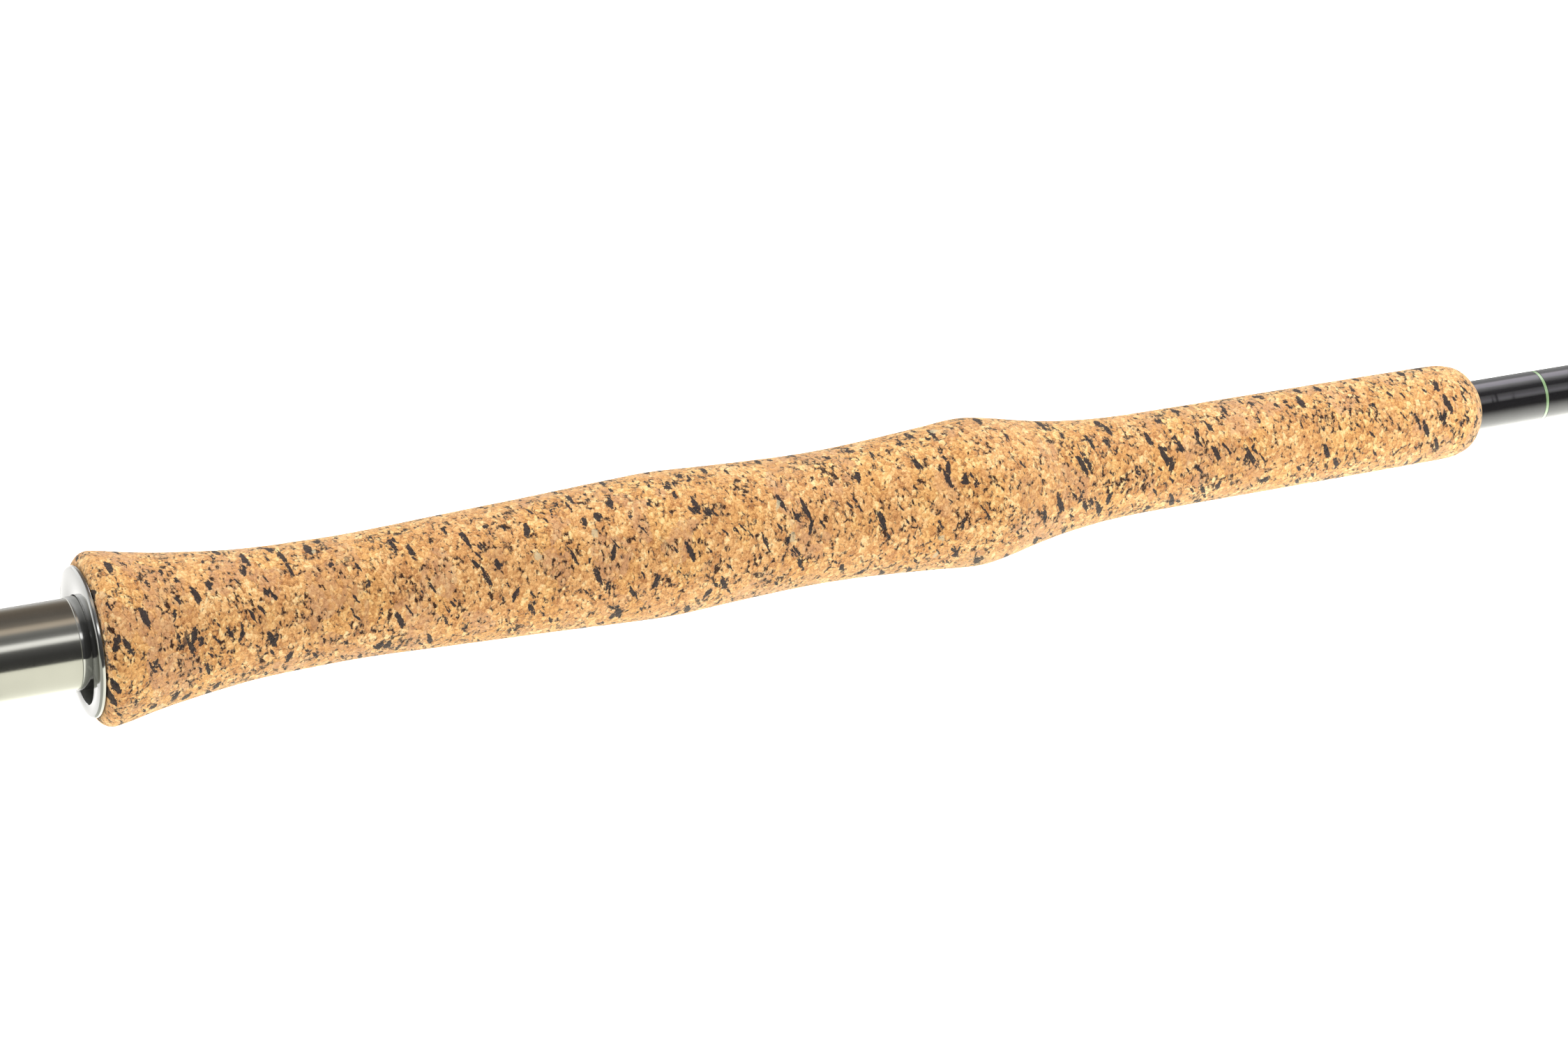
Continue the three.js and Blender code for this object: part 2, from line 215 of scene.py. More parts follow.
# ---------------------------------------------------------------- materials
def cork_material():
    made, t = material("composite_cork")
    place = t.millimetres()
    pressed = t.vector("MULTIPLY", place, (1.35, 1.0, 1.0))  # granules are pressed flat along the rod

    # granules of three sizes, each with its own tone and a ragged edge, and painted light and shade on each
    # as if lit from above
    medium_size = 0.62
    ragged = t.warp(t.warp(pressed, 0.5, 1.7), 2.4, 0.6)
    coarse = t.cells(ragged, 0.30)
    medium = t.cells(ragged, medium_size)
    grit = t.cells(t.warp(place, 2.0, 0.5), 1.9)
    edge = t.cells(ragged, medium_size, "DISTANCE_TO_EDGE")[0]
    grain = t.noise(place, 1.7, 4.0, 0.75)
    above = t.cells(t.vector("ADD", ragged, (-0.1, 0.0, 0.2)), medium_size)
    painted_relief_shade = t.math("SUBTRACT", above["Distance"], medium["Distance"])  # painted light and shade on each granule, as if lit from above
    value = t.plus(
        -0.375,
        (t.channels(coarse["Color"])[0], 0.18),
        (t.channels(medium["Color"])[1], 0.33),
        (t.channels(grit["Color"])[2], 0.14),
        (grain, 1.3),
        (painted_relief_shade, 0.75),
    )
    colour = t.ramp(
        value,
        (0.14, srgb(138, 82, 44)),
        (0.34, srgb(194, 136, 84)),
        (0.53, srgb(221, 163, 103)),
        (0.72, srgb(241, 188, 124)),
        (0.92, srgb(255, 222, 164)),
    )

    # smooth pinkish pieces, and ochre ground
    cloud_tone = t.channels(t.cells(t.warp(pressed, 0.16, 7.0), 0.115)["Color"])
    rosy = t.step(cloud_tone[0], 0.66, 0.74)
    rosy = t.math("MULTIPLY", rosy, t.step(t.noise(ragged, 0.5, 3.0), 0.36, 0.56))
    rose = t.mix(grain, srgb(176, 124, 90), srgb(226, 176, 132))
    colour = t.mix(t.math("MULTIPLY", rosy, 0.6), colour, rose)
    ochre = t.step(cloud_tone[1], 0.4, 0.8)
    yellowed = t.mix(1.0, colour, (1.0, 0.98, 0.82), "MULTIPLY")
    colour = t.mix(t.math("MULTIPLY", ochre, 0.6), colour, yellowed)

    # brown lines along some of the granules' edges: partly their own brown outline, partly painted shade
    # between granules
    outline_and_shade = t.math("MULTIPLY", t.step(edge, 0.075, 0.015), t.step(t.noise(place, 0.9, 2.0), 0.44, 0.6))
    colour = t.mix(t.math("MULTIPLY", outline_and_shade, 0.55), colour, srgb(150, 98, 58))

    # pits between granules, with painted shade in them: brown round the rim and nearly black inside
    holes = t.noise(pressed, 0.72, 5.0, 0.62)
    clusters = t.noise(place, 0.2, 2.0)
    field = t.plus(holes, (t.step(edge, 0.30, 0.0), -0.10), (clusters, -0.34))
    shaded_pit_rim = t.step(field, 0.23, 0.145)
    hollow = t.step(field, 0.157, 0.125)
    colour = t.mix(t.math("MULTIPLY", shaded_pit_rim, 0.7), colour, srgb(134, 84, 46))
    colour = t.mix(t.math("MULTIPLY", hollow, 0.95), colour, srgb(52, 28, 17))

    # dark bark chips, lying across the grip and leaning a little either way
    x, y, z = t.axes(place)
    torn = t.noise(place, 1.3, 4.0, 0.7)
    chips = None
    for lean, stretch, cell, least, size in (
        (0.35, 3.2, 0.20, 0.925, 0.97),
        (-0.30, 2.6, 0.24, 0.955, 0.94),
        (0.05, 1.5, 0.30, 0.98, 0.90),
        (0.60, 2.4, 0.48, 0.955, 0.97),
    ):
        along = t.math("MULTIPLY", t.math("MULTIPLY_ADD", z, lean, x), stretch)
        leaning = t.node("ShaderNodeCombineXYZ", {"X": along, "Y": y, "Z": z}).outputs[0]
        found = t.cells(t.warp(t.warp(leaning, 0.4, 2.6), 1.4, 1.3), cell)
        chosen = t.step(t.channels(found["Color"])[0], least, least + 0.002)
        reach = t.math("ADD", found["Distance"], torn)
        chip = t.math("MULTIPLY", chosen, t.step(reach, size + 0.03, size))
        chips = chip if chips is None else t.math("MAXIMUM", chips, chip)
    slate = t.mix(grain, srgb(25, 21, 24), srgb(64, 57, 60))
    colour = t.mix(t.math("MULTIPLY", chips, 0.97), colour, slate)

    # a few pale chips
    pale = t.cells(t.warp(t.warp(pressed, 0.6, 2.0), 2.0, 0.8), 0.34)
    chosen = t.step(t.channels(pale["Color"])[1], 0.994, 0.996)
    paleness = t.math("MULTIPLY", chosen, t.step(pale["Distance"], 0.5, 0.4))
    colour = t.mix(t.math("MULTIPLY", paleness, 0.7), colour, srgb(206, 192, 156))

    height = t.plus(
        0.0, (t.step(edge, 0.0, 0.25), 0.4), (grain, 1.6), (shaded_pit_rim, -0.5), (hollow, -0.9), (chips, -0.3)
    )
    t.surface(
        Base_Color=colour,
        Roughness=t.math("MULTIPLY_ADD", chips, -0.2, 0.86),
        Specular_IOR_Level=0.14,
        Sheen_Weight=t.math("MULTIPLY_ADD", chips, -0.45, 0.6),
        Sheen_Roughness=0.3,
        Sheen_Tint=(1.0, 0.98, 0.74),
        Normal=t.bump(height, 0.00025, 0.9),
    )
    return made


def metal_material(name, colour, rough, brush=0.04, depth=0.000004):
    """Turned metal: fine marks that run round the rod, and a slow change of tone."""
    made, t = material(name)
    place = t.millimetres()
    turned = t.noise(t.vector("MULTIPLY", place, (9.0, 0.12, 0.12)), 1.0, 3.0, 0.6)
    handled = t.noise(place, 0.12, 2.0)
    darker = tuple(0.93 * c for c in colour)
    lighter = tuple(1.06 * c for c in colour)
    roughness = t.math("ADD", t.span(turned, rough - brush, rough + brush), t.span(handled, -0.02, 0.02))
    t.surface(
        Base_Color=t.mix(handled, darker, lighter),
        Metallic=1.0,
        Roughness=roughness,
        Normal=t.bump(turned, depth, 0.5),
    )
    return made


def wound(t, place):
    """The turns of thread in a winding, as a wave along the rod."""
    return t.math("SINE", t.math("MULTIPLY", t.axes(place)[0], TAU / WINDING_PITCH))


def winding_material():
    made, t = material("black_winding")
    place = t.millimetres()
    twist = t.noise(t.vector("MULTIPLY", place, (5.0, 1.2, 1.2)), 1.0, 2.0)
    swell = t.noise(t.vector("MULTIPLY", place, (0.35, 0.12, 0.12)), 1.0, 1.0)
    t.surface(
        Base_Color=t.mix(twist, srgb(8, 7, 9), srgb(22, 20, 24)),
        Roughness=0.45,
        Specular_IOR_Level=0.04,
        Coat_Weight=1.0,
        Coat_Roughness=0.035,
        Coat_IOR=1.53,
        Normal=t.bump(wound(t, place), 0.00002, 0.4),
        Coat_Normal=t.bump(swell, 0.00006, 0.2),
    )
    return made


def band_material():
    made, t = material("green_band")
    turns = wound(t, t.millimetres())
    # the green is darker between the thread's turns and lighter on their crests: painted shade and highlight
    t.surface(
        Base_Color=t.mix(t.span(turns, 0.3, 0.7), srgb(96, 130, 80), srgb(136, 168, 116)),
        Roughness=0.5,
        Coat_Weight=1.0,
        Coat_Roughness=0.05,
        Coat_IOR=1.55,
        Normal=t.bump(turns, 0.00002, 0.4),
    )
    return made


def carbon_material():
    made, t = material("carbon_blank")
    place = t.millimetres()
    x, y, z = t.axes(place)
    turn = t.math("ARCTAN2", y, z)
    spiral = t.math("SINE", t.math("ADD", t.math("MULTIPLY", x, TAU / 2.6), turn))
    fibres = t.noise(t.vector("MULTIPLY", place, (0.05, 3.0, 3.0)), 1.0, 4.0, 0.65)
    colour = t.mix(fibres, srgb(18, 19, 22), srgb(46, 48, 54))
    colour = t.mix(t.math("MULTIPLY", t.step(spiral, 0.6, 1.0), 0.3), colour, srgb(60, 62, 68))
    t.surface(
        Base_Color=colour,
        Roughness=t.span(fibres, 0.3, 0.45),
        Coat_Weight=0.5,
        Coat_Roughness=0.12,
        Normal=t.bump(t.plus(fibres, (spiral, 0.4)), 0.00002, 0.5),
    )
    return made


def moulded_material(name, dark, light, rough, grain, depth):
    """Moulded rubber, plastic or filled bush: fine grain and a slow change of tone."""
    made, t = material(name)
    place = t.millimetres()
    fine = t.noise(place, grain, 3.0, 0.6)
    broad = t.noise(place, 0.1, 2.0)
    colour = t.mix(t.math("MULTIPLY", t.math("ADD", fine, broad), 0.5), dark, light)
    t.surface(
        Base_Color=colour,
        Roughness=t.span(broad, rough - 0.08, rough + 0.08),
        Normal=t.bump(fine, depth, 0.6),
    )
    return made


def ceramic_material():
    made, t = material("guide_ceramic")
    place = t.millimetres()
    cloud = t.noise(place, 0.8, 3.0)
    t.surface(
        Base_Color=t.mix(cloud, srgb(38, 40, 46), srgb(58, 60, 66)),
        Roughness=t.span(cloud, 0.06, 0.14),
        Coat_Weight=0.5,
        Coat_Roughness=0.03,
    )
    return made


# ---------------------------------------------------------------- mesh helpers
def add_piece(node, mesh, body, slot, *looks, sharp=32.0):
    """A visible piece with its mesh's name, in the place of a node. Edges over sharp degrees stay sharp."""
    piece = bpy.data.objects.new(mesh.name, mesh)
    bpy.context.scene.collection.objects.link(piece)
    for look in looks:
        mesh.materials.append(look)
    mesh.shade_smooth()
    mesh.set_sharp_from_angle(angle=math.radians(sharp))
    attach(piece, body)
    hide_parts(node)


def mesh_from(name, points, faces):
    """Points are in millimetres. Doubled points join, empty faces go, and the faces turn outwards."""
    mesh = bpy.data.meshes.new(name)
    mesh.from_pydata([tuple(MM * c for c in p) for p in points], [], faces)
    work = bmesh.new()
    work.from_mesh(mesh)
    bmesh.ops.remove_doubles(work, verts=work.verts, dist=1e-7)
    bmesh.ops.dissolve_degenerate(work, edges=work.edges, dist=1e-8)
    bmesh.ops.recalc_face_normals(work, faces=work.faces)
    work.to_mesh(mesh)
    work.free()
    return mesh


def around(sides, *extra):
    """Angles round the rod, from the reel side (-Z)."""
    return sorted(set([TAU * i / sides for i in range(sides)] + [a % TAU for a in extra]))


def skin(rings, sides, closed=False):
    """Faces between rings of points that have as many sides each."""
    faces = []
    for i in range(rings if closed else rings - 1):
        j = (i + 1) % rings
        for k in range(sides):
            m = (k + 1) % sides
            faces.append((i * sides + k, i * sides + m, j * sides + m, j * sides + k))
    return faces


def end_faces(rings, sides):
    return [tuple(range(sides)), tuple((rings - 1) * sides + k for k in range(sides))]


def polar_parts(rows, angles, centre_z=0.0):
    """Points and faces of a solid round a line along X. A row is (x, r), or gives it for an angle."""
    points = []
    for row in rows:
        for a in angles:
            x, r = row(a) if callable(row) else row
            points.append((x, r * math.sin(a), centre_z - r * math.cos(a)))
    return points, skin(len(rows), len(angles), closed=True)


def polar(name, rows, angles, centre_z=0.0):
    return mesh_from(name, *polar_parts(rows, angles, centre_z))


def filleted(corners):
    """A closed outline of (x, r) or (x, r, fillet). Each corner that has a fillet is rounded."""
    steps = 4
    out = []
    count = len(corners)
    for i, corner in enumerate(corners):
        here = Vector(corner[:2])
        size = corner[2] if len(corner) > 2 else 0
        if not size:
            out.append(tuple(here))
            continue
        before = Vector(corners[i - 1][:2]) - here
        after = Vector(corners[(i + 1) % count][:2]) - here
        size = min(size, 0.49 * before.length, 0.49 * after.length)
        start = here + before.normalized() * size
        end = here + after.normalized() * size
        for s in range(steps + 1):
            u = s / steps
            out.append(tuple(start * (1 - u) ** 2 + here * 2 * u * (1 - u) + end * u * u))
    return out


def catmull_rom(a, b, c, d, u):
    """A point on the smooth curve from b to c, between the knots a and d."""
    line = 2 * b + (c - a) * u
    return 0.5 * (line + (2 * a - 5 * b + 4 * c - d) * u**2 + (3 * b - a - 3 * c + d) * u**3)


def spline(points, step):
    """A smooth open curve through (x, r) points, resampled about every step millimetres."""
    knots = [points[0]] + list(points) + [points[-1]]
    out = []
    for i in range(1, len(knots) - 2):
        a, b, c, d = (np.array(p, float) for p in knots[i - 1 : i + 3])
        count = max(1, round(float(np.linalg.norm(c - b)) / step))
        out += [tuple(catmull_rom(a, b, c, d, s / count)) for s in range(count)]
    out.append(tuple(points[-1]))
    return out


def wire_path(knots):
    """A smooth line through points in space, with ten steps between two of them."""
    steps = 10
    ends = [Vector(knots[0]) * 2 - Vector(knots[1])] + [Vector(k) for k in knots]
    ends.append(Vector(knots[-1]) * 2 - Vector(knots[-2]))
    line = []
    for i in range(1, len(ends) - 2):
        line += [catmull_rom(*ends[i - 1 : i + 3], s / steps) for s in range(steps)]
    line.append(ends[-2])
    return line


def tube(line, radius):
    """Points and faces of a round bar along a line of vectors, with closed ends."""
    sides = 16
    points = []
    normal = None
    for i, p in enumerate(line):
        ahead = (line[min(i + 1, len(line) - 1)] - line[max(i - 1, 0)]).normalized()
        if normal is None:
            normal = ahead.orthogonal().normalized()
        normal = (normal - ahead * normal.dot(ahead)).normalized()
        side = ahead.cross(normal)
        for k in range(sides):
            a = TAU * k / sides
            points.append(tuple(p + (normal * math.cos(a) + side * math.sin(a)) * radius))
    return points, skin(len(line), sides) + end_faces(len(line), sides)


def gathered(*parts):
    """Several (points, faces) as one."""
    points, faces = [], []
    for some, these in parts:
        base = len(points)
        points += list(some)
        faces += [tuple(base + i for i in f) for f in these]
    return points, faces


# ---------------------------------------------------------------- the rod's dimensions, in millimetres
GAP = 0.3  # between pieces that sit face to face
BOND = 0.12  # glue line under a winding
BLANK_REAR, SECTION_END = -250.0, 548.0
BLANK_REAR_R, BLANK_REAR_BORE = 6.75, 5.45
BLANK_TAPER = 0.00228  # radius lost per millimetre
FERRULE_START, FERRULE_STEP = 490.0, 0.12
BARREL_R, BARREL_BORE, BARREL_REAR, BARREL_FRONT = 9.75, 8.25, -116.0, 24.0
SHOULDER, SHOULDER_R = -1.9, 9.94  # the barrel's dark finish ends here, at a slightly larger fit
THREAD = {"rear": -115.0, "front": -58.0, "pitch": 1.5, "depth": 0.62}
KEYWAY = {"rear": -113.0, "front": -36.0, "half": 1.6, "floor": 8.95}
RIM_R, RIM_LENGTH = 16.2, 1.2
POCKET_R, POCKET_OFFSET, POCKET_DEPTH = 9.9, 3.64, 14.0
CUP_R, CUP_DEPTH = 14.2, 17.0
BORE = 10.05  # of every piece that goes over the barrel
HOOD_REAR, HOOD_FRONT, HOOD_R = -86.0, -62.0, 13.1
MOUTH_R, MOUTH_OFFSET = 13.2, 2.0
MOUTH_SETBACK = 8.0  # from the bottom of the mouth's face to its top
SLIP_RING = {"rear": -87.9, "front": -86.3, "r": 12.6, "edge": 0.35}
LOCK_NUT = {"rear": -100.2, "front": -88.2, "r": 13.6, "collar": 2.6}
JAM_WASHER = {"rear": -104.1, "front": -102.9, "r": 12.2, "edge": 0.25}
JAM_NUT = {"rear": -112.4, "front": -104.4, "r": 13.3, "collar": 1.6}
KEY_X, KEY_R, KEY_TIP, KEY_HEAD = -80.5, 1.3, -9.3, -12.7
END_RING_REAR, END_RING_FRONT = -120.3, -116.3
LOWER_REAR, LOWER_FRONT = -242.0, -120.6
COLLAR_REAR, COLLAR_FRONT, COLLAR_R = -246.3, -242.3, 17.4
BUTT_REAR, BUTT_BORE = -262.0, 7.05
GRIP_FRONT = 332.2
WINDING_PITCH, WINDING_THICK = 0.24, 0.38
GRIP_WINDING, LONG_WINDING = (332.5, 349.73), (350.67, 372.0)
REAR_FOOT_WINDING, FRONT_FOOT_WINDING = (411.0, 425.5), (454.5, 469.0)
FERRULE_WINDING = (474.0, 486.0)
BAND_WIDTH, BAND_SPACE = 0.7, 0.12
GUIDE_X, GUIDE_Z = 440.0, -18.5
EYE_R, EYE_HALF_WIDTH, EYE_HALF_DEPTH = 7.15, 1.3, 0.85
WIRE_R = 0.64
DOT_X, DOT_R = 492.5, 1.1


def blank_radius(x):
    return BLANK_REAR_R - BLANK_TAPER * (x - BLANK_REAR)


def pocket_radius(a):
    """From the axis to the edge of a hood's hole, which is the bore and the pocket together."""
    reach = POCKET_OFFSET * math.cos(a) + math.sqrt(POCKET_R**2 - (POCKET_OFFSET * math.sin(a)) ** 2)
    return max(BORE, reach)


# the angle at which the bore and the pocket meet
POCKET_CORNER = math.acos((BORE**2 + POCKET_OFFSET**2 - POCKET_R**2) / (2 * BORE * POCKET_OFFSET))


# ---------------------------------------------------------------- pieces
def worn(x, a, seed):
    """Depth of the waves and small hollows in a turned cork surface, in millimetres."""
    least, wave_depth, hollow_depth, hollow_start = 0.03, 0.05, 0.22, 0.34
    side, up = math.sin(a), math.cos(a)
    wave = noise.noise(Vector((x * 0.5, 4.2 * side + seed, 4.2 * up)) * 0.5)
    hollow = noise.noise(Vector((x * 1.1, 17 * side + seed, 17 * up)) * 0.62)
    return least + wave_depth * max(0.0, wave) + hollow_depth * max(0.0, hollow - hollow_start)


def cork_grip(name, node, outline, inner, cork, seed):
    """outline runs along the outside from rear to front, and inner along the bore back to the rear."""
    rows = [(lambda a, x=x, r=r: (x, r - worn(x, a, seed))) for x, r in outline]
    add_piece(node, polar(name, rows + inner, around(168)), "rod", "cork", cork, sharp=50)


def make_foregrip(cork):
    rear = RIM_LENGTH + GAP
    shape = [
        (rear, 16.4), (1.9, 17.3), (2.5, 18), (3.3, 18.5), (4.3, 18.7), (7.5, 18.2), (13, 17.05), (22, 15.6),
        (36, 14), (50, 13.5), (62, 13.45), (80, 14.1), (104, 15), (120, 15.7), (131, 15.95), (145, 15.25),
        (163, 14.6), (176, 14.85), (192, 15.85), (201, 16.6), (206, 16.55), (212, 15.5), (220, 13.8),
        (229, 12.4), (240, 11.5), (256, 11.27), (290, 11.15), (312, 11.03), (324, 10.89), (327.1, 10.4),
        (329, 9.75), (330.4, 8.75), (331.4, 7.6), (GRIP_FRONT, 6.6),
    ]
    step = BARREL_FRONT + GAP
    inner = [
        (GRIP_FRONT, blank_radius(GRIP_FRONT) + GAP),
        (step, blank_radius(BARREL_FRONT) + GAP),
        (step, BORE),
        (CUP_DEPTH + GAP, BORE),
        (CUP_DEPTH + GAP, CUP_R + GAP),
        (rear, CUP_R + GAP),
    ]
    cork_grip("cork_foregrip", "foregrip", spline(shape, 0.8), inner, cork, 3.0)


def make_lower_grip(cork):
    shape = [
        (LOWER_REAR, 16.9), (-236, 17.1), (-226, 16.1), (-208, 14.4), (-182, 13.4), (-156, 13.8),
        (-134, 14.6), (-123.6, 14.6), (LOWER_FRONT, 13.9),
    ]
    bore = blank_radius(LOWER_REAR) + GAP
    inner = [(LOWER_FRONT, bore), (LOWER_REAR, bore)]
    cork_grip("cork_lower_grip", "lower_grip", spline(shape, 0.9), inner, cork, 11.0)


def make_fore_hood(polished, machined):
    """A polished flange with a cup behind it. The inside of the pocket is left as machined."""
    angles = around(192, POCKET_CORNER, -POCKET_CORNER)

    def edge(x, extra):
        return lambda a: (x, pocket_radius(a) + extra)

    rows = [
        edge(0.0, 0.26),
        edge(0.08, 0.1),
        edge(0.26, 0.0),
        edge(POCKET_DEPTH, 0.0),
        (POCKET_DEPTH, BORE),
        (CUP_DEPTH, BORE),
        (CUP_DEPTH, CUP_R - 0.5),
        (CUP_DEPTH - 0.5, CUP_R),
        (RIM_LENGTH, CUP_R),
        (RIM_LENGTH, RIM_R - 0.12),
        (RIM_LENGTH - 0.04, RIM_R - 0.04),
        (RIM_LENGTH - 0.14, RIM_R),
        (0.46, RIM_R),
        (0.38, RIM_R - 0.03),
        (0.03, RIM_R - 0.4),
        (0.0, RIM_R - 0.48),
    ]
    mesh = polar("hood_flange", rows, angles)
    add_piece("fore_hood", mesh, "rod", "polished", polished, machined, sharp=28)
    for face in mesh.polygons:
        outwards = Vector((0, face.center.y, face.center.z))
        if 0.3 < face.center.x / MM < POCKET_DEPTH - 0.1 and face.normal.dot(outwards) < 0:
            face.material_index = 1


def make_barrel(gunmetal, polished):
    """Its front part is plain, its rear part has a right-hand thread, and a keyway runs below."""
    slot = math.asin(KEYWAY["half"] / BARREL_R)
    inner = slot * 0.985
    angles = around(72, slot, -slot, inner, -inner)
    rows_x = [BARREL_REAR, BARREL_REAR + 0.35]
    rows_per_turn = 10
    x = THREAD["rear"]
    while x < THREAD["front"]:
        rows_x.append(x)
        x += THREAD["pitch"] / rows_per_turn
    rows_x += list(np.arange(THREAD["front"], KEYWAY["front"] - 0.01, 2.0))
    rows_x += [KEYWAY["front"] - 0.01, KEYWAY["front"] + 0.01, -20.0, SHOULDER - 0.12, SHOULDER + 0.01]
    rows_x += [BARREL_FRONT - 0.3, BARREL_FRONT]

    def outside(x, a):
        r = BARREL_R
        if x in (BARREL_REAR, BARREL_FRONT):
            r -= 0.3
        if THREAD["rear"] <= x <= THREAD["front"]:
            phase = (x / THREAD["pitch"] - a / TAU) % 1.0
            tooth = min(1.0, max(0.0, abs(phase - 0.5) * 4.4 - 0.55))  # 1 on a crest, 0 in a root
            fade = min(1.0, (x - THREAD["rear"]) / 0.8, (THREAD["front"] - x) / 2.5)
            r -= THREAD["depth"] * (1 - tooth) * fade
        off = min(a, TAU - a)
        if KEYWAY["rear"] < x < KEYWAY["front"] and off <= inner + 1e-6:
            r = min(r, KEYWAY["floor"] / math.cos(off))
        if SHOULDER < x < BARREL_FRONT - 1:
            r = SHOULDER_R
        return r

    rows = [(lambda a, x=x: (x, outside(x, a))) for x in rows_x]
    rows += [(BARREL_FRONT, BARREL_BORE), (BARREL_REAR, BARREL_BORE)]
    mesh = polar("seat_tube", rows, angles)
    add_piece("seat_barrel", mesh, "rod", "gunmetal", gunmetal, polished, sharp=30)
    for face in mesh.polygons:
        if face.center.x > SHOULDER * MM:
            face.material_index = 1


def make_sliding_hood(gunmetal):
    """A collar, then a wider mouth off the rod's axis, whose face leans back towards the top."""
    rear, r = HOOD_REAR, HOOD_R
    pocket_end = rear + 11.5
    angles = around(160, POCKET_CORNER, -POCKET_CORNER)
    lean = MOUTH_SETBACK / (2 * MOUTH_R)
    bottom = MOUTH_R + MOUTH_OFFSET

    def mouth(a):
        across = MOUTH_OFFSET * math.sin(a)
        return MOUTH_OFFSET * math.cos(a) + math.sqrt(MOUTH_R**2 - across**2)

    def lip(extra_x, extra_r, reach):
        def row(a):
            from_axis = reach(a) + extra_r
            return HOOD_FRONT - lean * (bottom - from_axis * math.cos(a)) + extra_x, from_axis

        return row

    rows = [
        lip(-0.3, 0.0, mouth),
        lip(-0.09, -0.09, mouth),
        lip(0.0, -0.3, mouth),
        lip(0.0, 0.25, pocket_radius),
        lip(-0.08, 0.08, pocket_radius),
        lip(-0.25, 0.0, pocket_radius),
        lambda a: (pocket_end, pocket_radius(a)),
        (pocket_end, BORE),
        (rear, BORE),
        (rear, r - 0.4),
        (rear + 0.12, r - 0.12),
        (rear + 0.4, r),
        (rear + 8.4, r),
        (rear + 8.8, r - 0.25),
        lambda a: (rear + 9.1, min(r, mouth(a)) - 0.35),
        lambda a: (rear + 9.6, mouth(a) * 0.985 - 0.2),
        lambda a: (rear + 10.6, mouth(a)),
    ]
    mesh = polar("sliding_hood_shell", rows, angles)
    add_piece("sliding_hood", mesh, "hood_slider", "gunmetal", gunmetal, sharp=30)


def make_nut(name, node, body, gunmetal, rear, front, r, collar):
    """A scalloped nut with a plain collar towards the hood."""
    flutes, deep, collar_r = 20, 0.62, 12.3

    def scallop(x, drop, sink=1.0):
        def row(a):
            wave = max(0.0, math.cos(flutes * a) - 0.35) / 0.65
            return x, r - drop - deep * sink * wave**0.6

        return row

    end = front - collar
    rows = [
        (rear, BORE + 0.35),
        (rear + 0.35, BORE),
        (front - 0.2, BORE),
        (front, BORE + 0.2),
        (front, collar_r - 0.35),
        (front - 0.1, collar_r - 0.1),
        (front - 0.35, collar_r),
        (end + 0.15, collar_r),
        (end, collar_r + 0.1),
        scallop(end, deep, 0.2),
        scallop(end - 0.18, 0.2, 0.8),
        scallop(end - 0.6, 0.0),
        scallop(rear + 0.6, 0.0),
        scallop(rear + 0.18, 0.2, 0.8),
        scallop(rear, deep, 0.2),
    ]
    mesh = polar(name, rows, around(flutes * 12))
    add_piece(node, mesh, body, "gunmetal", gunmetal, sharp=34)


def make_ring(name, node, body, slot, look, corners):
    add_piece(node, polar(name, filleted(corners), around(144)), body, slot, look)


def washer(rear, front, r, edge):
    """Corners of a plain ring on the barrel, with rounded outer edges."""
    return [(rear, BORE), (front, BORE), (front, r, edge), (rear, r, edge)]


def make_hood_key(steel):
    """A grub screw with a hexagonal socket, seen from below in the sliding hood."""
    sides, sixth = 48, math.pi / 3
    rings = [
        (KEY_TIP, KEY_R - 0.25, False), (KEY_TIP - 0.25, KEY_R, False),
        (KEY_HEAD + 0.2, KEY_R, False), (KEY_HEAD, KEY_R - 0.2, False),
        (KEY_HEAD, 0.72, True), (KEY_HEAD + 1.0, 0.66, True),
    ]
    points = []
    for z, radius, hexed in rings:
        for k in range(sides):
            a = TAU * k / sides
            reach = radius
            if hexed:
                reach *= math.cos(sixth / 2) / math.cos((a % sixth) - sixth / 2)
            points.append((KEY_X + reach * math.cos(a), reach * math.sin(a), z))
    faces = skin(len(rings), sides) + end_faces(len(rings), sides)
    add_piece("hood_key", mesh_from("key_screw", points, faces), "hood_slider", "steel", steel)


def make_butt_cap(rubber):
    """A solid cup with a groove near its front, a round shoulder and a shallow dish in its end."""
    rear, front, groove = BUTT_REAR, COLLAR_REAR - GAP, 16.75
    inside, dish = rear + 5.9, rear + 0.4
    corners = [
        (inside, 0.0), (inside, BUTT_BORE), (front, BUTT_BORE), (front, 17.0, 0.4), (-248.2, 17.25, 0.3),
        (-248.5, groove, 0.25), (-249.2, groove, 0.25), (-249.5, 17.3, 0.3), (-252.5, 17.25, 1.0),
        (-256.5, 16.7, 2.0), (-259.8, 15.2, 2.0), (-261.5, 13.2, 1.2), (rear, 11.6, 0.6),
        (rear, 8.6, 0.3), (dish, 8.2, 0.3), (dish, 0.0),
    ]
    mesh = polar("butt_cap_rubber", filleted(corners), around(128))
    add_piece("butt_cap", mesh, "rod", "rubber", rubber)


def make_butt_collar(polished):
    """A ring with a shallow groove round its middle."""
    rear, front, r, groove = COLLAR_REAR, COLLAR_FRONT, COLLAR_R, COLLAR_R - 0.25
    corners = [
        (rear, BUTT_BORE), (front, BUTT_BORE), (front, r - 0.4, 0.3), (front - 0.3, r, 0.3),
        (front - 1.5, r, 0.12), (front - 1.75, groove, 0.1), (front - 2.25, groove, 0.1),
        (front - 2.5, r, 0.12), (rear + 0.3, r, 0.3), (rear, r - 0.4, 0.3),
    ]
    make_ring("butt_ring", "butt_collar", "rod", "polished", polished, corners)


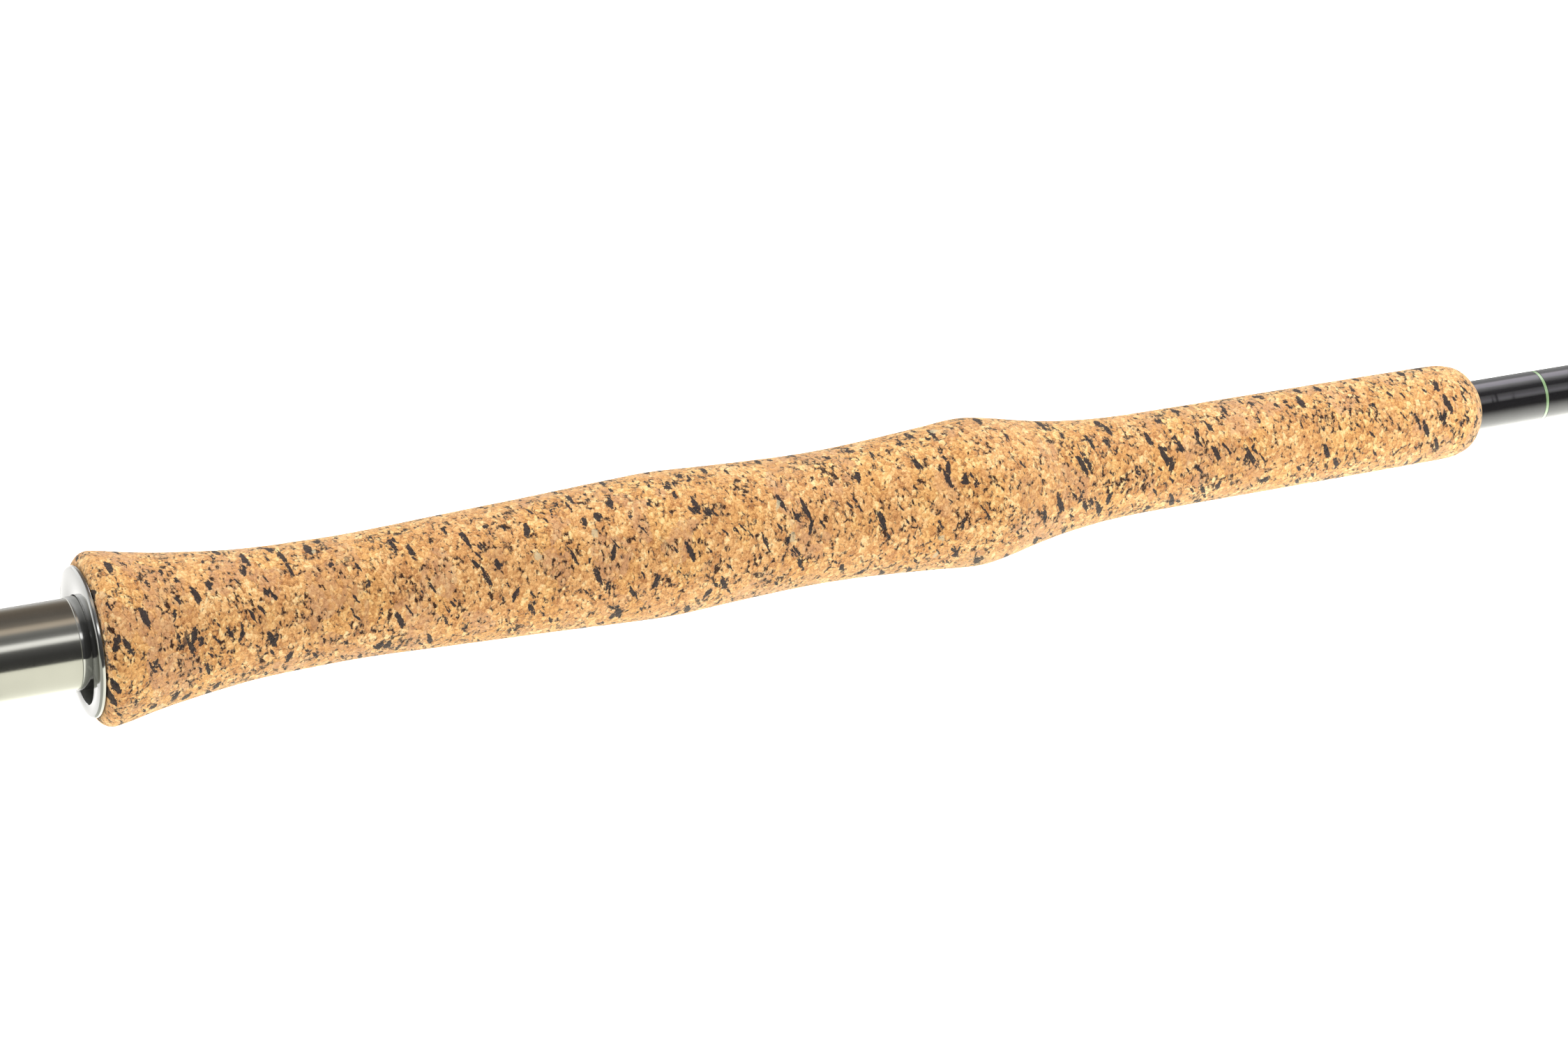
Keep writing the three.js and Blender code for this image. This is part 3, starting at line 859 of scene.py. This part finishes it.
def make_end_ring(gunmetal):
    """Between the barrel and the lower grip; it widens towards the grip."""
    rear, front = END_RING_REAR, END_RING_FRONT
    corners = [
        (rear, 6.8), (front, 6.8), (front, 12.2, 0.2), (front - 0.5, 12.7, 0.3),
        (rear + 1.3, 13.85, 0.6), (rear + 0.8, 14.1, 0.3), (rear, 14.1, 0.2),
    ]
    make_ring("seat_ring", "seat_end_ring", "rod", "gunmetal", gunmetal, corners)


def make_blank(carbon):
    """A tapered tube, a little thinner at its front end, where the next section plugs on."""
    shoulder = blank_radius(FERRULE_START)
    end = blank_radius(SECTION_END) - FERRULE_STEP
    rows = [
        (BLANK_REAR, BLANK_REAR_BORE), (SECTION_END - 0.3, end - 1.3), (SECTION_END, end - 1.15),
        (SECTION_END, end - 0.2), (SECTION_END - 0.06, end - 0.06), (SECTION_END - 0.2, end),
        (FERRULE_START + 0.4, shoulder - FERRULE_STEP), (FERRULE_START, shoulder - 0.005),
    ]
    rows += [(x, blank_radius(x)) for x in np.arange(480.0, BLANK_REAR, -20.0)]
    rows += [(BLANK_REAR, BLANK_REAR_R)]
    add_piece("blank", polar("carbon_tube", rows, around(96)), "rod", "carbon", carbon, sharp=40)


def meniscus(distance, length):
    """Rises from 0 at an end to 1 at length from it, steeply at first."""
    return min(1.0, max(0.0, distance) / length) ** 0.5


def winding_rows(rear, front, rear_open, front_open):
    """Rows of one winding: epoxy over thread. An open end thins out to the blank in a meniscus."""
    inner = blank_radius(rear) + BOND
    rows = [(front, inner), (rear, inner)]
    length = front - rear
    count = max(6, round(length / 0.35))
    fade, wave = 1.1, 0.02
    for i in range(count + 1):
        x = rear + length * i / count
        rise = 1.0
        if rear_open:
            rise = min(rise, meniscus(x - rear, fade))
        if front_open:
            rise = min(rise, meniscus(front - x, fade))
        rise = 0.12 + 0.88 * rise
        swell = wave * noise.noise(Vector((x * 0.33, 0.3, 1.7)))
        rows.append((x, inner + (WINDING_THICK - wave) * rise + swell * rise))
    return rows


def make_winding(name, node, slot, look, ends, rear_open=False, front_open=False):
    rows = winding_rows(*ends, rear_open, front_open)
    add_piece(node, polar(name, rows, around(96)), "rod", slot, look, sharp=60)


def make_band(name, node, look, rear):
    make_winding(name, node, "band", look, (rear, rear + BAND_WIDTH))


def make_foot_winding(name, node, look, ends, toe_front):
    """A winding that bulges over a foot of the guide. toe_front says which way the foot points."""
    rear, front = ends
    inner = blank_radius(rear) + BOND
    length = front - rear
    deep = -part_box(node)[0].z / MM
    full = deep - inner - WINDING_THICK
    count = round(length / 0.35)
    fade = 0.9
    heel, tip = (1.0, 0.25) if toe_front else (0.25, 1.0)

    def outer(x, a):
        t = (x - rear) / length
        off = min(a, TAU - a)
        lump = math.exp(-((off / 0.34) ** 2))
        skirt = math.exp(-((off / 0.62) ** 2)) * 0.35
        rise = (heel * (1 - t) + tip * t) * (1 - 0.35 * t * (1 - t))
        rounded = min(meniscus(x - rear, fade), meniscus(front - x, fade))
        return inner + 0.06 + (0.3 + full * rise * max(lump, skirt)) * max(0.1, rounded)

    xs = [rear + length * i / count for i in range(count + 1)]
    rows = [(front, inner), (rear, inner)] + [(lambda a, x=x: (x, outer(x, a))) for x in xs]
    add_piece(node, polar(name, rows, around(120)), "rod", "winding", look, sharp=60)


def make_windings(black, green):
    """Black windings from the grip to the ferrule, with green bands between or beside them."""
    make_winding("wrap_at_grip", "grip_wrap", "winding", black, GRIP_WINDING)
    make_band("band_at_grip", "grip_band", green, GRIP_WINDING[1] + BAND_SPACE)
    make_winding("wrap_past_band", "grip_wrap_front", "winding", black, LONG_WINDING, front_open=True)
    make_winding("wrap_at_ferrule", "ferrule_wrap", "winding", black, FERRULE_WINDING, rear_open=True)
    make_band("band_at_ferrule", "ferrule_band", green, FERRULE_WINDING[1] + BAND_SPACE)
    make_foot_winding("wrap_rear_foot", "guide_rear_wrap", black, REAR_FOOT_WINDING, toe_front=False)
    make_foot_winding("wrap_front_foot", "guide_front_wrap", black, FRONT_FOOT_WINDING, toe_front=True)
    make_band("band_rear_foot", "guide_rear_band", green, REAR_FOOT_WINDING[0] - BAND_SPACE - BAND_WIDTH)
    make_band("band_front_foot", "guide_front_band", green, FRONT_FOOT_WINDING[1] + BAND_SPACE)


def make_guide_ring(ceramic):
    section = [
        (GUIDE_X + EYE_HALF_WIDTH * math.cos(u), EYE_R + EYE_HALF_DEPTH * math.sin(u))
        for u in [TAU * i / 20 for i in range(20)]
    ]
    mesh = polar("guide_eye_ring", section, around(96), GUIDE_Z)
    add_piece("guide_ring", mesh, "rod", "ceramic", ceramic)


def guide_foot(side):
    """A flat foot that narrows and thins towards its tip. side is -1 behind the ring, 1 in front."""
    steps, sides = 12, 12
    heel, length, top = 12.6, 13.4, -5.36
    half_width, heel_thick, tip_thick = 1.4, 0.94, 0.3
    points = []
    for s in range(steps + 1):
        u = s / steps
        x = GUIDE_X + side * (heel + length * u)
        half = half_width * (1 - 0.55 * u**2.2)
        thick = heel_thick * (1 - u) + tip_thick * u
        for k in range(sides):
            a = TAU * k / sides
            points.append((x, half * math.cos(a), top - thick / 2 + thick / 2 * math.sin(a)))
    return points, skin(steps + 1, sides) + end_faces(steps + 1, sides)


def make_guide_frame(steel):
    """A ring that holds the ceramic, one leg behind, two in front, and a foot at each end."""
    back, face, inner, outer = GUIDE_X - 0.6, GUIDE_X + 0.6, 8.12, 8.9
    holder = filleted([(back, inner, 0.1), (face, inner, 0.1), (face, outer, 0.25), (back, outer, 0.25)])
    rear, front = GUIDE_X - 13, GUIDE_X + 13
    rear_leg = [(rear - 1, 0, -6.05), (rear + 4, 0, -6.9), (GUIDE_X - 3, 0, -8.8), (GUIDE_X, 0, -9.6)]
    parts = [polar_parts(holder, around(96), GUIDE_Z), tube(wire_path(rear_leg), WIRE_R)]
    for side in (-1, 1):
        leg = [
            (front + 1, side * 0.5, -6.05), (front - 3, side * 2.6, -8.0),
            (GUIDE_X + 4, side * 6.9, -12.3), (GUIDE_X, side * 8.6, GUIDE_Z + 1),
        ]
        parts.append(tube(wire_path(leg), WIRE_R))
    parts += [guide_foot(side) for side in (-1, 1)]
    mesh = mesh_from("guide_wire", *gathered(*parts))
    add_piece("guide_frame", mesh, "rod", "steel", steel, sharp=40)


def make_dot(band):
    """The alignment dot follows the blank's round surface."""
    rings, sides, thick = 5, 32, 0.14
    base = blank_radius(DOT_X)
    points = [(DOT_X, 0, base + thick)]
    for i in range(1, rings + 1):
        reach = DOT_R * i / rings
        lift = thick if i < rings else 0.02
        for k in range(sides):
            a = TAU * k / sides
            y = reach * math.sin(a)
            points.append((DOT_X + reach * math.cos(a), y, math.sqrt(base**2 - y**2) + lift))
    faces = [(0, 1 + k, 1 + (k + 1) % sides) for k in range(sides)]
    for i in range(rings - 1):
        near, far = 1 + i * sides, 1 + (i + 1) * sides
        for k in range(sides):
            m = (k + 1) % sides
            faces.append((near + k, far + k, far + m, near + m))
    under = len(points)
    points.append((DOT_X, 0, base - 0.3))
    last = 1 + (rings - 1) * sides
    faces += [(under, last + (k + 1) % sides, last + k) for k in range(sides)]
    add_piece("ferrule_dot", mesh_from("tip_dot", points, faces), "rod", "band", band)


def make_rod():
    cork = cork_material()
    gunmetal = metal_material("gunmetal_seat", (0.265, 0.262, 0.238), rough=0.16)
    polished = metal_material(
        "polished_nickel", (0.315, 0.315, 0.305), rough=0.1, brush=0.03, depth=0.000002
    )
    machined = metal_material(
        "machined_nickel", (0.62, 0.62, 0.60), rough=0.36, brush=0.08, depth=0.000008
    )
    steel = metal_material("guide_steel", (0.20, 0.20, 0.21), rough=0.22)
    black = winding_material()
    green = band_material()
    carbon = carbon_material()
    rubber = moulded_material(
        "butt_rubber", srgb(26, 25, 24), srgb(46, 44, 42), rough=0.72, grain=2.2, depth=0.00005
    )
    nylon = moulded_material(
        "slip_nylon", srgb(34, 33, 30), srgb(56, 54, 50), rough=0.5, grain=1.2, depth=0.00002
    )
    filler = moulded_material(
        "arbor_filler", srgb(120, 110, 92), srgb(160, 148, 126), rough=0.85, grain=1.5, depth=0.00006
    )
    ceramic = ceramic_material()

    make_foregrip(cork)
    make_lower_grip(cork)
    make_fore_hood(polished, machined)
    make_barrel(gunmetal, polished)
    make_sliding_hood(gunmetal)
    make_hood_key(steel)
    make_nut("lock_nut_ring", "lock_nut", "lock_nut_body", gunmetal, **LOCK_NUT)
    make_nut("jam_nut_ring", "jam_nut", "jam_nut_body", gunmetal, **JAM_NUT)
    make_ring("slip_washer", "slip_ring", "hood_slider", "nylon", nylon, washer(**SLIP_RING))
    make_ring("jam_plate", "jam_washer", "washer_slider", "polished", polished, washer(**JAM_WASHER))
    make_end_ring(gunmetal)
    make_butt_cap(rubber)
    make_butt_collar(polished)
    make_blank(carbon)
    make_windings(black, green)
    make_guide_ring(ceramic)
    make_guide_frame(steel)
    make_dot(green)

    # the pieces inside keep their CAD shapes
    for name in ("arbor_rear", "arbor_middle", "arbor_front", "butt_plug"):
        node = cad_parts[name]
        node.data.materials.clear()
        node.data.materials.append(nylon if name == "butt_plug" else filler)


# ---------------------------------------------------------------- studio
# in metres: places along the rod, and distances from its axis
FLOOR_Z = -0.12
FLOOR_HALF = 12.0
SPLIT = 0.63  # the left room ends and the right room begins here
LAMP_END = 1.044  # the right room's lamp reaches from here to FAR
FLOOR_SPLIT = 0.31  # the reflected floor changes here
FAR = 4
ROOM_REACH, BACK_REACH, CAMERA_SIDE_REACH = 1.3, 1.6, 0.4
LOWEST, OVERHEAD, HIGHEST = -30, 66, 180  # degrees above the horizon on the camera's side


def glow(name, colour):
    made, t = material(name)
    t.lamp(colour)
    return made


def glow_pool(name, colour, middle, width):
    """A glow that falls away evenly on both sides of the line y = middle."""
    made, t = material(name)
    away = t.math("DIVIDE", t.math("SUBTRACT", t.axes(t.place())[1], middle), width)
    t.lamp(colour, t.math("DIVIDE", 1.0, t.math("MULTIPLY_ADD", away, away, 1.0)))
    return made


def glow_arc(name, *stops):
    """A glow that changes with the angle above the horizon. Stops are (degrees, colour)."""
    made, t = material(name)
    y, z = t.axes(t.place())[1:]
    turn = t.math("ARCTAN2", z, t.math("MULTIPLY", y, -1.0))
    low, high = stops[0][0], stops[-1][0]
    above = t.math("SUBTRACT", turn, math.radians(low))
    share = t.math("DIVIDE", above, math.radians(high - low))
    brightest = max(max(colour) for angle, colour in stops)
    shades = [
        ((angle - low) / (high - low), tuple(c / brightest for c in colour)) for angle, colour in stops
    ]
    t.lamp(t.ramp(share, *shades), brightest)
    return made


def card(name, corners, look, seen_by):
    """A sheet of quads round the set. It is seen only by rays of one kind, "glossy" or "diffuse"."""
    mesh = bpy.data.meshes.new(name)
    faces = [(i, i + 1, i + 3, i + 2) for i in range(0, len(corners) - 2, 2)]
    mesh.from_pydata(corners, [], faces)
    mesh.materials.append(look)
    made = bpy.data.objects.new(name, mesh)
    bpy.context.scene.collection.objects.link(made)
    made.visible_camera = False
    made.visible_shadow = False
    made.visible_transmission = False
    made.visible_glossy = seen_by == "glossy"
    made.visible_diffuse = seen_by == "diffuse"


def arc(name, low, high, x0, x1, reach, look, seen_by="glossy"):
    """A card bent round the rod's axis, from angle low to high, with an edge about every 5 degrees."""
    count = round((high - low) / 5)
    corners = []
    for i in range(count + 1):
        a = math.radians(low + (high - low) * i / count)
        corners += [(x, -reach * math.cos(a), reach * math.sin(a)) for x in (x0, x1)]
    card(name, corners, look, seen_by)


def sheet(name, x0, x1, y0, y1, look):
    """A level card just above the floor."""
    z = FLOOR_Z + 0.005
    card(name, [(x0, y0, z), (x1, y0, z), (x0, y1, z), (x1, y1, z)], look, "glossy")


def grey(level):
    return (level, level, level)


def make_sky():
    """An even white light from everywhere."""
    world = bpy.data.worlds.new("studio")
    bpy.context.scene.world = world
    world.cycles.sampling_method = "NONE"
    t = Tree(world)
    sky = t.node("ShaderNodeBackground", {"Color": (1.0, 0.995, 0.985), "Strength": 1.48})
    t.node("ShaderNodeOutputWorld", {"Surface": sky.outputs[0]})


def make_floor():
    """A pale floor that glows a little. Reflections don't see it, but see the cards just above it."""
    look, t = material("studio_floor")
    t.surface(
        Base_Color=(0.85, 0.85, 0.84),
        Roughness=0.9,
        Emission_Color=(1.0, 0.99, 0.96),
        Emission_Strength=0.7,
    )
    mesh = bpy.data.meshes.new("floor")
    corners = [(FLOOR_HALF * x, FLOOR_HALF * y, FLOOR_Z) for x, y in ((-1, -1), (1, -1), (1, 1), (-1, 1))]
    mesh.from_pydata(corners, [], [(0, 1, 2, 3)])
    mesh.materials.append(look)
    floor = bpy.data.objects.new("floor", mesh)
    bpy.context.scene.collection.objects.link(floor)
    floor.visible_glossy = False


def make_left_room():
    """What the seat's metal reflects: a narrow lamp, a wide dim one overhead, and a brown room."""
    arc("room_left", LOWEST, HIGHEST, 0.0, SPLIT, ROOM_REACH, glow_arc(
        "room_left",
        (LOWEST, grey(0.12)), (8, grey(0.13)), (25, grey(0.24)), (31, grey(0.42)), (35, grey(2.7)),
        (42, grey(3.4)), (46, grey(2.2)), (50, grey(0.6)), (60, grey(0.42)), (70, grey(0.6)),
        (79, (1.6, 1.37, 1.16)), (86, (1.4, 1.2, 1.0)), (93, (0.56, 0.49, 0.43)),
        (110, (0.34, 0.30, 0.27)), (136, (0.36, 0.30, 0.25)), (152, (0.5, 0.43, 0.36)),
        (165, (0.9, 0.85, 0.8)), (HIGHEST, grey(1.3)),
    ))
    arc("room_far_left", LOWEST, HIGHEST, -FAR, 0.0, ROOM_REACH, glow_arc(
        "room_far_left",
        (LOWEST, grey(0.12)), (30, grey(0.14)), (72, grey(0.24)), (96, grey(0.9)), (125, grey(1.8)),
        (HIGHEST, grey(2.2)),
    ))


def make_right_room():
    """What the front windings reflect: a lamp, then a tall bright screen behind the rod."""
    dark = glow("room_dark", grey(0.2))
    arc("room_right_low", LOWEST, OVERHEAD, SPLIT, LAMP_END, ROOM_REACH, dark)
    arc("room_right", LOWEST, OVERHEAD, LAMP_END, FAR, ROOM_REACH, glow_arc(
        "room_right",
        (LOWEST, grey(0.2)), (24, grey(0.2)), (31, grey(1.5)), (39, (2.3, 2.25, 2.4)),
        (49, (1.6, 1.55, 1.65)), (59, grey(1.1)), (OVERHEAD, grey(0.25)),
    ))
    arc("screen_right", OVERHEAD, HIGHEST, SPLIT, FAR, ROOM_REACH, glow_arc(
        "screen_right",
        (OVERHEAD, grey(0.25)), (80, grey(0.35)), (90, grey(1.3)), (102, grey(2.6)),
        (109, (3.9, 3.75, 4.1)), (120, (4.0, 3.8, 4.2)), (130, (3.6, 3.4, 3.7)), (140, grey(1.2)),
        (152, grey(0.9)), (HIGHEST, grey(0.7)),
    ))


def make_reflected_floor():
    near_right, near, back, end = -1.2, -0.37, 0.1, 5  # along Y
    sheet("floor_left", 0.0, FLOOR_SPLIT, near, back, glow("floor_left", (2.65, 2.65, 2.32)))
    sheet("floor_far_left", -FAR, 0.0, near, back, glow("floor_far_left", (1.0, 1.02, 0.9)))
    sheet("floor_left_back", -FAR, FLOOR_SPLIT, back, end, glow("floor_left_back", (1.66, 1.64, 1.60)))
    pool = glow_pool("floor_right", (5.3, 5.3, 4.95), middle=-0.035, width=0.19)
    sheet("floor_right", FLOOR_SPLIT, FAR, near_right, end, pool)


def make_soft_light():
    """What lights the cork: dim on the camera's side and at the back, bright overhead and just behind."""
    dim = glow("camera_side", grey(0.25))
    arc("camera_side", -8, 60, -FAR, 0.25, CAMERA_SIDE_REACH, dim, "diffuse")
    bright = glow("backlight", (3.2, 3.15, 3.1))
    arc("backlight", 90, 128, -FAR, FAR, BACK_REACH, bright, "diffuse")
    arc("back_wall", 128, 175, -FAR, FAR, BACK_REACH, glow("back_wall", grey(0.3)), "diffuse")


def make_studio():
    make_sky()
    make_floor()
    make_left_room()
    make_right_room()
    make_reflected_floor()
    make_soft_light()


make_camera()
make_rod()
make_studio()
bpy.context.scene.view_settings.view_transform = "Standard"
